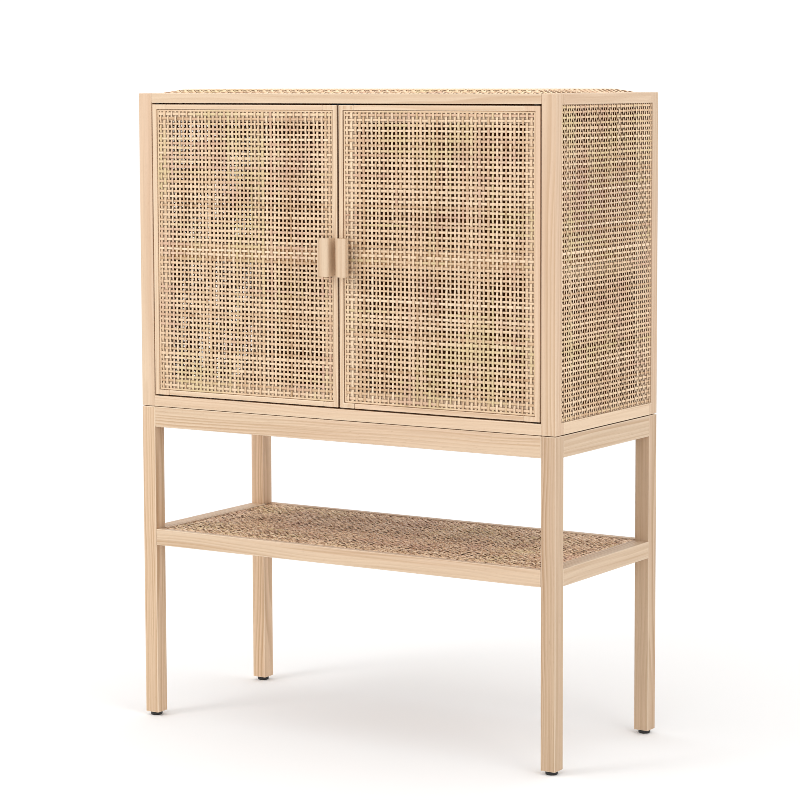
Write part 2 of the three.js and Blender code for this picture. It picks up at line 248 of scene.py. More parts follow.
def wood_look(
    name, along, middle, seed, light=WOOD_LIGHT, dark=WOOD_DARK, value=1.0, figure=1.0, painted_shade=None
):
    """Clear-lacquered pale pine, grain along one axis. The rings circle a pith line outside the piece.

    value makes it brighter and figure makes its grain stronger. The last argument is an axis, a sign (0
    for both),
    an amount and a colour: the sides facing that way take the colour as painted shade.
    """
    rng = np.random.default_rng(seed)
    look = Look(name)
    parts = look.split(look.coordinates())
    across = [i for i in range(3) if i != along]
    angle = rng.uniform(0.25, 1.32) + math.pi / 2 * rng.integers(4)
    reach = rng.uniform(*PITH_REACH)
    pith = [middle[across[0]] + reach * math.cos(angle), middle[across[1]] + reach * math.sin(angle)]
    side = look.math("SUBTRACT", parts[across[0]], float(pith[0]))
    depth = look.math("SUBTRACT", parts[across[1]], float(pith[1]))
    place = (parts[along], side, depth)
    shifts = rng.uniform(3, 60, 18)

    sway = look.noise(scaled(look, place, (1.9, 7, 7), shifts[0:3]), 2)
    ripple = look.noise(scaled(look, place, (6, 60, 60), shifts[3:6]), 2)
    squared = look.math("ADD", look.math("MULTIPLY", side, side), look.math("MULTIPLY", depth, depth))
    radius = look.math("SQRT", squared)
    bent = look.math("MULTIPLY_ADD", sway, 0.034, radius)
    bent = look.math("MULTIPLY_ADD", ripple, 0.0016, bent)
    # Rings aren't evenly spaced: some years are wide and some are narrow.
    outwards = look.math("MULTIPLY_ADD", bent, 75.0, shifts[0])
    years = look.noise(look.join(outwards, shifts[1], shifts[2]), 1)
    bent = look.math("MULTIPLY_ADD", years, 0.011, bent)
    turn = look.math("FRACT", look.math("DIVIDE", bent, RING_SPACING * float(rng.uniform(0.85, 1.25))))
    darkening, fading = look.between(turn, 0.12, 0.84), look.between(turn, 0.86, 1.0, 1.0, 0.0)
    late = look.math("MULTIPLY", darkening, fading)
    patches = look.noise(scaled(look, place, (0.8, 26, 26), shifts[6:9]), 2)
    late = look.math("MULTIPLY", late, look.between(patches, 0.38, 0.68, 0.2, 1.0))

    fibre = look.noise(scaled(look, place, (11, 900, 900), shifts[9:12]), 3, 0.6)
    broad = look.noise(scaled(look, place, (2.4, 190, 190), shifts[9:12]), 2)
    pores = look.noise(scaled(look, place, (95, 2600, 2600), shifts[12:15]), 1)
    flush = look.noise(scaled(look, place, (1.1, 13, 13), shifts[15:18]), 1)

    warm = look.mix(look.between(flush, 0.42, 0.74, 0.0, 0.8), srgb(*light), srgb(*WOOD_PINK))
    grain = look.mix(look.math("MULTIPLY", late, 0.44 * figure), warm, srgb(*dark))
    grain = look.mix(look.between(broad, 0.5, 0.78, 0.0, 0.24 * figure), grain, srgb(*dark))
    fleck = look.between(pores, 0.64, 0.78, 0.0, 0.20 * figure)
    grain = look.mix(fleck, grain, srgb(150, 110, 74))
    shade = look.between(fibre, 0.3, 0.7, 0.945 * value, 1.025 * value)
    # Painted shade: the sides facing the given way are mixed towards a darker colour.
    if painted_shade:
        axis, sign, amount, tone = painted_shade
        turned = look.split(look.facing())[axis]
        turned = look.math("MULTIPLY", turned, float(sign)) if sign else look.math("ABSOLUTE", turned)
        grain = look.mix(look.between(turned, 0.6, 0.9, 0.0, amount), grain, srgb(*tone))
    colour = look.mix(1.0, grain, look.join(shade, shade, shade), "MULTIPLY")
    look.surface("Base Color", colour)
    look.surface("Roughness", look.between(fibre, 0.3, 0.7, 0.60, 0.47))
    look.shader.inputs["Specular IOR Level"].default_value = 0.38
    height = look.math("MULTIPLY_ADD", late, 0.12, look.math("SUBTRACT", fibre, fleck))
    look.bump(height, 0.00008, 0.5)
    return look.material


def edge_highlight_look(name, along, middle, seed, value, painted_shade):
    """The eased edges of a wooden piece: painted a little paler than its faces as a highlight, with
    fainter grain.
    """
    return wood_look(name, along, middle, seed, (231, 208, 181), (205, 174, 140), value, 0.6, painted_shade)


def board_look(name, along, across, seed, face, back=None):
    """Sanded plywood: streaky veneer whose grain runs along one axis.

    face and back are each a light and a dark colour, and back is for the side that faces +Y.
    """
    rng = np.random.default_rng(seed)
    look = Look(name)
    parts = look.split(look.coordinates())
    shifts = rng.uniform(3, 60, 12)

    def streaks(lengthwise, crosswise, shift, detail):
        scales = [crosswise * 0.5] * 3
        scales[along] = lengthwise
        scales[across] = crosswise
        return look.noise(scaled(look, parts, scales, shift), detail, 0.58)

    wide = streaks(1.3, 14, shifts[0:3], 3)
    medium = streaks(2.6, 105, shifts[3:6], 3)
    fine = streaks(9, 900, shifts[6:9], 3)
    pores = streaks(60, 1900, shifts[9:12], 1)
    # Where the veneer was cut along the rings they show as nested bands.
    cuts = look.math("MULTIPLY_ADD", wide, 13.0, look.math("MULTIPLY", medium, 1.6))
    bands = look.math("PINGPONG", cuts, 0.5)
    figure = look.math("MULTIPLY_ADD", bands, 0.7, look.math("MULTIPLY", medium, 0.75))

    def toned(light, dark):
        return look.mix(look.between(figure, 0.30, 0.86), srgb(*light), srgb(*dark))

    colour = toned(*face)
    if back:
        behind = look.between(look.split(look.facing())[Y], 0.2, 0.6)
        colour = look.mix(behind, colour, toned(*back))
    fleck = look.between(pores, 0.62, 0.76, 0.0, 0.30)
    colour = look.mix(fleck, colour, srgb(96, 62, 36))
    shade = look.between(fine, 0.3, 0.7, 0.90, 1.06)
    look.surface("Base Color", look.mix(1.0, colour, look.join(shade, shade, shade), "MULTIPLY"))
    look.surface("Roughness", look.between(fine, 0.3, 0.7, 0.82, 0.68))
    look.shader.inputs["Specular IOR Level"].default_value = 0.12
    look.bump(look.math("SUBTRACT", fine, fleck), 0.00008, 0.5)
    return look.material


# ---------------------------------------------------------------- cane
def cane_look(name, seed, out, out_sign, value, speckle, rim_shade):
    """Peeled cane. Each strand carries its own place and tone.

    The sheet has broad greenish and pinkish areas, and its pith side, which faces away from out, is
    duller and browner. speckle adds small dark specks, and the last argument paints shade on the
    strands' edges.
    """
    rng = np.random.default_rng(seed)
    look = Look(name)
    along, over, strand = look.split(look.attribute("strand_place"))
    shade, hue, stain = look.split(look.attribute("strand_tone"))
    offset = look.math("MULTIPLY", strand, 91.7)
    shifts = rng.uniform(3, 60, 6)

    def run(scale):
        return look.math("MULTIPLY_ADD", along, scale, offset)

    streaks = look.noise(look.join(run(22.0), look.math("MULTIPLY", over, 3.4), offset), 3, 0.62)
    mottle = look.noise(look.join(run(75.0), look.math("MULTIPLY", over, 0.8), strand), 2)
    knots = look.noise(look.join(run(31.0), offset, strand), 1)

    parts = look.split(look.coordinates())
    area = look.noise(scaled(look, parts, (9, 9, 9), shifts[0:3]), 2)
    other = look.noise(scaled(look, parts, (13, 13, 13), shifts[3:6]), 2)

    base = look.ramp(
        look.math("MULTIPLY_ADD", look.math("SUBTRACT", streaks, 0.5), 0.75, shade),
        [
            (0.0, srgb(172, 134, 98)),
            (0.28, srgb(200, 166, 131)),
            (0.55, srgb(219, 189, 156)),
            (1.0, srgb(233, 209, 179)),
        ],
    )
    greenish = look.between(look.math("MULTIPLY_ADD", hue, 0.16, area), 0.53, 0.76, 0.0, 0.62)
    base = look.mix(greenish, base, srgb(208, 190, 142))
    pinkish = look.between(look.math("MULTIPLY_ADD", stain, 0.14, other), 0.55, 0.78, 0.0, 0.60)
    base = look.mix(pinkish, base, srgb(199, 158, 137))
    base = look.mix(look.between(knots, 0.70, 0.80, 0.0, 0.55), base, srgb(142, 100, 64))
    base = look.mix(look.between(mottle, 0.62, 0.80, 0.0, 0.30), base, srgb(160, 120, 84))
    # Small dark specks across the sheet, as strong as speckle asks.
    dark_specks = look.noise(scaled(look, parts, (210, 210, 210), shifts[3:6]), 3, 0.7)
    base = look.mix(look.between(dark_specks, 0.46, 0.62, 0.0, speckle), base, srgb(128, 80, 50))
    # Painted shade: the strands' edges are mixed towards brown, standing in for the shade in the holes
    # between them.
    rim = look.math("ABSOLUTE", over)
    base = look.mix(look.between(rim, 0.75, 1.0, 0.0, rim_shade), base, srgb(104, 64, 32))
    facing = look.math("MULTIPLY", look.split(look.facing())[out], float(out_sign))
    base = look.mix(look.between(facing, -0.35, 0.05, 0.82, 0.0), base, srgb(132, 84, 42))
    tone = look.between(streaks, 0.3, 0.7, 0.93 * value, 1.04 * value)
    look.surface("Base Color", look.mix(1.0, base, look.join(tone, tone, tone), "MULTIPLY"))
    look.surface("Roughness", look.between(streaks, 0.3, 0.72, 0.62, 0.44))
    look.shader.inputs["Specular IOR Level"].default_value = 0.32
    look.bump(look.math("ADD", streaks, look.math("MULTIPLY", mottle, 0.4)), 0.00018, 0.6)
    return look.material


# ---------------------------------------------------------------- fittings
def plastic_look(name, seed):
    """Black moulded plastic, finely sparked and scuffed paler in places."""
    rng = np.random.default_rng(seed)
    look = Look(name)
    parts = look.split(look.coordinates())
    shifts = rng.uniform(3, 60, 6)
    spark = look.noise(scaled(look, parts, (2600, 2600, 2600), shifts[0:3]), 2)
    scuff = look.noise(scaled(look, parts, (240, 240, 900), shifts[3:6]), 3)
    worn = look.between(scuff, 0.58, 0.75)
    dark = look.ramp(spark, [(0.3, srgb(22, 22, 23)), (0.7, srgb(36, 35, 35))])
    look.surface("Base Color", look.mix(look.math("MULTIPLY", worn, 0.5), dark, srgb(74, 72, 70)))
    look.surface("Roughness", look.between(scuff, 0.3, 0.7, 0.42, 0.62))
    look.bump(spark, 0.00006, 0.7)
    return look.material


def steel_look(name, seed, along=Z, blackened=False):
    """Steel brushed along one axis, bright or blackened."""
    rng = np.random.default_rng(seed)
    look = Look(name)
    parts = look.split(look.coordinates())
    shifts = rng.uniform(3, 60, 6)
    fine = [5200.0, 5200.0, 5200.0]
    fine[along] = 120.0
    brushed = look.noise(scaled(look, parts, fine, shifts[0:3]), 3)
    cloud = look.noise(scaled(look, parts, (300, 300, 300), shifts[3:6]), 2)
    tone = look.math("MULTIPLY_ADD", cloud, 0.4, look.math("MULTIPLY", brushed, 0.6))
    low, high = ((52, 48, 44), (92, 84, 76)) if blackened else ((156, 155, 151), (214, 213, 208))
    look.surface("Base Color", look.ramp(tone, [(0.25, srgb(*low)), (0.75, srgb(*high))]))
    look.shader.inputs["Metallic"].default_value = 1.0
    look.surface("Roughness", look.between(brushed, 0.25, 0.75, 0.24, 0.46))
    look.bump(brushed, 0.00003, 0.6)
    return look.material


# ---------------------------------------------------------------- carried-over CAD nodes
def shade_smooth_group():
    """A modifier that shades a piece smooth, so that its eased edges catch the light as curves."""
    group = bpy.data.node_groups.new("shade_smooth", "GeometryNodeTree")
    group.interface.new_socket("Geometry", in_out="INPUT", socket_type="NodeSocketGeometry")
    group.interface.new_socket("Geometry", in_out="OUTPUT", socket_type="NodeSocketGeometry")
    start = group.nodes.new("NodeGroupInput")
    smooth = group.nodes.new("GeometryNodeSetShadeSmooth")
    end = group.nodes.new("NodeGroupOutput")
    group.links.new(start.outputs[0], smooth.inputs[0])
    group.links.new(smooth.outputs[0], end.inputs[0])
    return group


SMOOTH = shade_smooth_group()


def ease_edges(piece, width, segments=2, edge_slot=-1):
    """Rounds a CAD piece's sharp edges with modifiers; its mesh stays as it is."""
    weld = piece.modifiers.new("weld", "WELD")
    weld.merge_threshold = 0.00001
    bevel = piece.modifiers.new("bevel", "BEVEL")
    bevel.width = width
    bevel.segments = segments
    bevel.limit_method = "ANGLE"
    bevel.angle_limit = math.radians(32)
    bevel.use_clamp_overlap = True
    bevel.loop_slide = False
    # The bevel's faces take the edge_slot material, which paints a highlight on the eased edges.
    bevel.material = edge_slot
    smooth = piece.modifiers.new("smooth", "NODES")
    smooth.node_group = SMOOTH
    weighted = piece.modifiers.new("weighted", "WEIGHTED_NORMAL")
    weighted.weight = 60
    weighted.keep_sharp = False


def dress(piece, *materials):
    """Gives a piece these materials in place of those it has."""
    piece.data.materials.clear()
    for material in materials:
        piece.data.materials.append(material)


# How bright a wooden piece is beside the others: partly its own tone, and partly painted shade or
# painted light for how much light reaches it.
WOOD_VALUE = 0.97
TONE_AND_SHADE_VALUES = {
    # The right-hand legs are darkened as painted shade, and the rear left leg is brightened as painted
    # light.
    "leg_front_left": 0.97,
    "leg_front_right": 0.81,
    "leg_rear_left": 1.07,
    "leg_rear_right": 0.81,
    "post_front_left": 0.94,
    "post_front_right": 0.91,
    "post_rear_right": 0.86,
    "apron_front": 0.91,
    "apron_right": 0.84,
    "case_top_rail_front": 0.91,
    "case_top_rail_right": 0.91,
    "case_bottom_rail_front": 0.95,
    "lower_shelf_rail_front": 0.91,
    "lower_shelf_rail_right": 0.85,
    # The cleats behind the side cane are darkened as painted shade.
    "shelf_cleat_left": 0.62,
    "shelf_cleat_right": 0.62,
    "door_left_handle": 0.89,
    "door_right_handle": 0.90,
}
# Light and dark tones of the legs, the cleats, and the boards inside, outside and under the cane.
# The cleats, the boards inside and the boards under the cane are dark as painted shade.
LEG_TONES = {"light": (216, 187, 156), "dark": (176, 136, 97)}
SHADED_CLEAT_TONES = {"light": (198, 150, 102), "dark": (158, 110, 66)}
SHADED_INNER_TONES = ((146, 92, 46), (114, 66, 28))
OUTER_TONES = ((209, 180, 145), (186, 152, 114))
SHADED_COVERED_TONES = ((136, 94, 60), (106, 70, 42))
# The colour of the painted shade in the seam between stand and case.
SEAM_SHADE_BROWN = (104, 64, 34)
# Which sides of a piece take painted shade, by part of its name: axis, sign (0 for both), amount and
# colour.
PAINTED_SHADE_SIDES = (
    ("inner_stile", (X, 0, 0.6, (112, 68, 36))),  # painted shade in the gap between the doors
    ("middle_rail", (Y, -1, 0.8, (168, 115, 56))),  # painted shade behind the cane
    ("apron_left", (Z, 1, 0.8, SEAM_SHADE_BROWN)),  # painted shade in the seam between stand and case
    ("apron_right", (Z, 1, 0.8, SEAM_SHADE_BROWN)),
    ("case_bottom_rail_left", (Z, -1, 0.8, SEAM_SHADE_BROWN)),
    ("case_bottom_rail_right", (Z, -1, 0.8, SEAM_SHADE_BROWN)),
)
PLYWOOD = ("back_panel", "bottom_board", "inner_shelf", "top_board", "lower_shelf_board")

for number, (name, piece) in enumerate(sorted(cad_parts.items())):
    low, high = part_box(name)
    size = high - low
    middle = (low + high) / 2
    longest = max(range(3), key=lambda i: size[i])
    seed = SEED + 17 * number
    if name.startswith(("foot_", "magnetic")):
        dress(piece, plastic_look(name + "_plastic", seed))
        ease_edges(piece, PLASTIC_EASING)
    elif name.startswith("pivot_") or name.endswith("strike_plate"):
        dress(piece, steel_look(name + "_steel", seed, blackened=name.startswith("pivot_")))
        ease_edges(piece, STEEL_EASING)
    elif "_cane" in name:
        continue  # woven below
    elif name in PLYWOOD:
        across = Z if name == "back_panel" else Y
        # The boards inside and the boards under the cane take dark tones as painted shade.
        face = SHADED_COVERED_TONES if name in ("top_board", "lower_shelf_board") else SHADED_INNER_TONES
        back = OUTER_TONES if name == "back_panel" else None
        dress(piece, board_look(name + "_plywood", X, across, seed, face, back))
        ease_edges(piece, PLYWOOD_EASING)
    else:
        value = TONE_AND_SHADE_VALUES.get(name, WOOD_VALUE)
        # The cleats take dark tones as painted shade behind the side cane.
        tones = LEG_TONES if name.startswith("leg_") else SHADED_CLEAT_TONES if "cleat" in name else {}
        figure = 1.8 if name.startswith(("leg_", "apron_", "lower_shelf_")) else 1.2
        painted_shade = next((sides for part, sides in PAINTED_SHADE_SIDES if part in name), None)
        faces = wood_look(
            name + "_wood", longest, middle, seed, value=value, figure=figure, painted_shade=painted_shade, **tones
        )
        # The second material paints a highlight on the eased edges.
        dress(piece, faces, edge_highlight_look(name + "_edge", longest, middle, seed, value, painted_shade))
        ease_edges(piece, WOOD_EASING, segments=3, edge_slot=1)


# ---------------------------------------------------------------- mesh building
def mesh_of(name, points, quads, place, tone, unwrapped=None):
    """A smooth mesh of four-sided faces, with what its material reads at each point."""
    mesh = bpy.data.meshes.new(name)
    mesh.vertices.add(points.size // 3)
    mesh.vertices.foreach_set("co", np.ascontiguousarray(points, np.float32).ravel())
    mesh.loops.add(quads.size)
    mesh.loops.foreach_set("vertex_index", np.ascontiguousarray(quads, np.int32).ravel())
    mesh.polygons.add(len(quads))
    mesh.polygons.foreach_set("loop_start", np.arange(0, quads.size, 4, dtype=np.int32))
    mesh.polygons.foreach_set("use_smooth", np.ones(len(quads), bool))
    for label, values in (("strand_place", place), ("strand_tone", tone)):
        attribute = mesh.attributes.new(label, "FLOAT_VECTOR", "POINT")
        attribute.data.foreach_set("vector", np.ascontiguousarray(values, np.float32).ravel())
    if unwrapped is not None:
        layer = mesh.uv_layers.new(name="OFBake")
        layer.data.foreach_set("uv", np.ascontiguousarray(unwrapped, np.float32).ravel())
    mesh.update(calc_edges=True)
    mesh.validate()
    return put_in_scene(name, mesh)


# A strand's section: shares of its half width and of its half thickness.
SECTION = np.array([(-1.0, 0.0), (-0.62, 0.86), (0.0, 1.0), (0.62, 0.86), (1.0, 0.0), (0.0, -0.9)])
SIDES = len(SECTION)


def tubes(points):
    """Quads that skin rows of rings, closed at both ends, and an unwrapping of each row to a strip."""
    rows, rings = points.shape[:2]
    index = np.arange(rows * rings * SIDES).reshape(rows, rings, SIDES)
    after = np.roll(index, -1, axis=2)
    skin = np.stack([index[:, :-1], after[:, :-1], after[:, 1:], index[:, 1:]], -1)
    around = np.arange(SIDES + 1) / SIDES
    left = (np.arange(rows)[:, None, None] + 0.06 + 0.88 * around[None, None, :-1]) / rows
    right = (np.arange(rows)[:, None, None] + 0.06 + 0.88 * around[None, None, 1:]) / rows
    height = (np.arange(rings) / (rings - 1) * 0.98 + 0.01)[None, :, None]
    shape = (rows, rings - 1, SIDES)
    below = np.broadcast_to(height[:, :-1], shape)
    above = np.broadcast_to(height[:, 1:], shape)
    left, right = np.broadcast_to(left, shape), np.broadcast_to(right, shape)
    corners = [(left, below), (right, below), (right, above), (left, above)]
    unwrapped = np.stack([np.stack(corner, -1) for corner in corners], -2)
    ends = []
    for ring, turned in ((0, True), (rings - 1, False)):
        edge = index[:, ring]
        for picked in ((0, 1, 2, 3), (3, 4, 5, 0)):
            face = edge[:, picked]
            ends.append(face[:, ::-1] if turned else face)
    cap_height = [0.004, 0.004, 0.996, 0.996]
    cap_place = np.broadcast_to(((np.arange(rows) + 0.5) / rows)[:, None], (rows, 4))
    caps = [np.stack([cap_place, np.full((rows, 4), h)], -1) for h in cap_height]
    quads = np.concatenate([skin.reshape(-1, 4), *ends])
    flat = np.concatenate([unwrapped.reshape(-1, 2), *[cap.reshape(-1, 2) for cap in caps]])
    return quads, flat


def waves(rng, stops, count, slowest, fastest):
    """A sine wave along each of count strands, each with its own frequency and start."""
    frequency = rng.uniform(slowest, fastest, count)[:, None]
    return np.sin(stops[None, :] * frequency + rng.uniform(0, 6, count)[:, None])


def strands(
    name,
    rng,
    run_axis,
    lay_axis,
    out_axis,
    corner,
    length,
    span,
    count,
    others,
    flip,
    width,
    end_in,
    loose,
    low_rise,
    crown,
):
    """One direction of a woven sheet: count flat strands side by side, going over and under the others.

    They run for length along run_axis and lie side by side over span along lay_axis. A loose sheet's
    strands wander more. A crowned one slopes up from its border to a flat middle.
    """
    step = span / count
    quarter = length / others / 4
    stops = np.arange(1, others * 4) * quarter
    kept = (stops > end_in + RING_GAP) & (stops < length - end_in - RING_GAP)
    stops = np.concatenate([[end_in], stops[kept], [length - end_in]])
    rings = len(stops)
    rows = np.arange(count)
    # Neighbouring strands drift together, and each has its own small error, width and set.
    drift = 0.00045 * np.sin(rows * 0.55 + rng.uniform(0, 6))
    drift = drift + 0.0003 * np.sin(rows * 1.37 + rng.uniform(0, 6))
    lay = (rows + 0.5) * step + (drift + rng.normal(0, 0.00022, count)) * loose
    widths = width * (1 + 0.07 * np.sin(rows * 0.41 + rng.uniform(0, 6)) + rng.normal(0, 0.075, count))
    broad = rng.random(count) < 0.07
    widths = np.where(broad, widths * 1.22, widths)
    widths = np.clip(widths, NARROWEST, max(BROADEST, width * 1.08))
    thick = STRAND_THICK * (1 + rng.normal(0, 0.05, count))
    tilt = rng.normal(0, 0.05, count)

    phase = np.cos(np.pi * (stops / (length / others) - 0.5))
    wave = np.sign(phase) * np.abs(phase) ** 0.55
    sign = np.where((rows + flip) % 2 == 0, 1.0, -1.0)
    rise = STRAND_RISE * low_rise * sign[:, None] * wave[None, :]
    wander = STRAND_WANDER * loose * waves(rng, stops, count, 18, 46)
    swell = 1 + 0.05 * waves(rng, stops, count, 30, 80)

    shape = (count, rings, SIDES)
    wide = (widths[:, None] * swell)[:, :, None] / 2 * SECTION[None, None, :, 0]
    deep = np.broadcast_to((thick / 2)[:, None, None] * SECTION[None, None, :, 1], shape)
    aside = (lay[:, None] + wander)[:, :, None] + wide
    out = rise[:, :, None] + deep + wide * tilt[:, None, None]
    forward = np.repeat(np.repeat(stops[None, :, None], count, axis=0), SIDES, axis=2)
    # A loose sheet's strands are cut unevenly at its border.
    forward[:, 0] += rng.uniform(0, RAGGED, (count, 1)) * (loose - 1)
    forward[:, -1] -= rng.uniform(0, RAGGED, (count, 1)) * (loose - 1)
    inside = np.minimum(np.minimum(forward, length - forward), np.minimum(aside, span - aside))
    out = out + crown * np.clip(inside / CROWN_SLOPE, 0, 1)
    points = (
        np.array(corner)[None, None, None, :]
        + forward[..., None] * np.array(run_axis)
        + aside[..., None] * np.array(lay_axis)
        + out[..., None] * np.array(out_axis)
    )
    label = rng.random(count)
    over = np.broadcast_to(SECTION[None, None, :, 0], shape)
    place = np.stack([forward, over, np.broadcast_to(label[:, None, None], shape)], -1)
    shade = np.clip(rng.normal(0.56, 0.17, count), 0.05, 1.0)
    tones = np.stack([shade, rng.normal(0, 0.6, count), rng.normal(0, 0.6, count)], -1)
    tone = np.broadcast_to(tones[:, None, None, :], (*shape, 3))
    quads, unwrapped = tubes(points)
    # The quads face inwards when run x lay points along out, so they're turned.
    if np.dot(np.cross(run_axis, lay_axis), out_axis) > 0:
        quads = quads[:, ::-1]
        unwrapped = unwrapped.reshape(-1, 4, 2)[:, ::-1].reshape(-1, 2)
    return mesh_of(name, points, quads, place, tone, unwrapped)


def unit(axis, sign=1.0):
    """A vector along one axis, of length sign."""
    vector = np.zeros(3)
    vector[axis] = sign
    return vector


def weave(
    node,
    body,
    across,
    up,
    out,
    out_sign,
    seed,
    border=0.0,
    column_pitch=PITCH,
    width=STRAND_WIDTH,
    value=1.0,
    loose=1.0,
    low_rise=1.0,
    speckle=0.0,
    rim_shade=0.38,
):
    """A woven cane sheet in the space of a CAD cane node, as one piece of warp and one of weft."""
    rng = np.random.default_rng(seed)
    low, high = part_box(node)
    size = high - low
    corner = np.array(low, float)
    crown = size[out] - SHEET_THICK
    corner[out] += SHEET_THICK / 2
    columns = round((size[across] - 2 * border) / column_pitch)
    rows = round((size[up] - 2 * border) / PITCH)
    inner = corner + unit(across, border) + unit(up, border)
    wide, tall = size[across] - 2 * border, size[up] - 2 * border
    tuck = -border * REED_COVER if border else BORDER_GAP
    outward = unit(out, out_sign)
    look = cane_look(node + "_weave", seed, out, out_sign, value, speckle, rim_shade)
    upright, level = unit(up), unit(across)
    build = (width, tuck, loose, low_rise, crown)
    warp = strands(
        node + "_warp", rng, upright, level, outward, inner, tall, wide, columns, rows, 0, *build
    )
    weft = strands(
        node + "_weft", rng, level, upright, outward, inner, wide, tall, rows, columns, 1, *build
    )
    for piece in (warp, weft):
        dress(piece, look)
        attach(piece, body)
    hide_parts(node)
    return look


def reed(node, body, across, up, out, out_sign, look, seed):
    """The half-round reed that holds a door's cane down, mitred at the corners."""
    rng = np.random.default_rng(seed)
    low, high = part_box(node)
    # The reed's section: shares of its width, from the lip inwards, and of its height.
    section = [(0.06, 0.0), (0.10, 0.62), (0.32, 0.92), (0.62, 0.92), (0.88, 0.62), (1.0, 0.0)]
    floor = low[out] if out_sign > 0 else high[out]
    height = (high[out] - low[out]) * 0.93
    path, inward, travelled = [], [], []
    near, far = (low[across], low[up]), (high[across], high[up])
    corners = [near, (far[0], near[1]), far, (near[0], far[1])]
    diagonals = [(1, 1), (-1, 1), (-1, -1), (1, -1)]
    walked = 0.0
    for i in range(4):
        (x0, y0), (x1, y1) = corners[i], corners[(i + 1) % 4]
        a0, b0 = diagonals[i]
        length = math.hypot(x1 - x0, y1 - y0)
        steps = max(2, round(length / REED_STEP))
        for k in range(steps):
            share = k / steps
            path.append((x0 + (x1 - x0) * share, y0 + (y1 - y0) * share))
            # At a corner the strip's inner side is set in both ways; along a side, only across it.
            along_x = abs(x1 - x0) > abs(y1 - y0)
            inward.append((a0, b0) if k == 0 else ((0, b0) if along_x else (a0, 0)))
            travelled.append(walked + length * share)
        walked += length
    rings = len(path)
    wobble = 1 + rng.normal(0, 0.02, rings)
    points = np.zeros((rings, len(section), 3))
    for r, ((x, y), (a, b)) in enumerate(zip(path, inward)):
        for k, (step, lift) in enumerate(section):
            reach = SPLINE_WIDTH * step * (wobble[r] if 0.2 < step < 0.9 else 1.0)
            points[r, k, across] = x + a * reach
            points[r, k, up] = y + b * reach
            points[r, k, out] = floor + out_sign * lift * height
    sides = len(section)
    index = np.arange(rings * sides).reshape(rings, sides)
    after = np.roll(index, -1, axis=0)
    quads = np.stack([index, np.roll(index, -1, axis=1), np.roll(after, -1, axis=1), after], -1)
    quads = quads.reshape(-1, 4)
    axes = np.cross(unit(across), unit(up))
    if axes[out] * out_sign > 0:
        quads = quads[:, ::-1]
    place = np.zeros((rings, sides, 3))
    place[:, :, 0] = np.array(travelled)[:, None]
    place[:, :, 1] = np.linspace(-0.5, 0.5, sides)[None, :]
    place[:, :, 2] = rng.random()
    tone = np.broadcast_to(np.array([0.62, 0.1, -0.2]), place.shape)
    piece = mesh_of(node + "_reed", points, quads, place, tone)
    dress(piece, look)
    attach(piece, body)


for side, body in (("left", "left_door"), ("right", "right_door")):
    node = f"door_{side}_cane"
    seed = SEED + (401 if side == "left" else 443)
    look = weave(node, body, X, Z, Y, -1, seed, border=SPLINE_WIDTH, column_pitch=DOOR_COLUMN_PITCH)
    reed(node, body, X, Z, Y, -1, look, seed + 1)
# The side sheets take full painted shade on their strands' edges.
SIDE_SHEET = {"column_pitch": SIDE_COLUMN_PITCH, "value": 1.04, "rim_shade": 1.0}
TOP_SHEET = {"value": 1.30, "loose": 1.5, "speckle": 0.2}
SHELF_SHEET = {"width": 0.0045, "value": 1.30, "loose": 2.6, "low_rise": 0.55, "speckle": 0.75}
weave("side_cane_left", "carcass", Y, Z, X, -1, SEED + 501, width=LEFT_STRAND_WIDTH, **SIDE_SHEET)
weave("side_cane_right", "carcass", Y, Z, X, 1, SEED + 502, width=RIGHT_STRAND_WIDTH, **SIDE_SHEET)
weave("top_cane", "carcass", X, Y, Z, 1, SEED + 503, **TOP_SHEET)
weave("lower_shelf_cane", "carcass", X, Y, Z, 1, SEED + 504, **SHELF_SHEET)


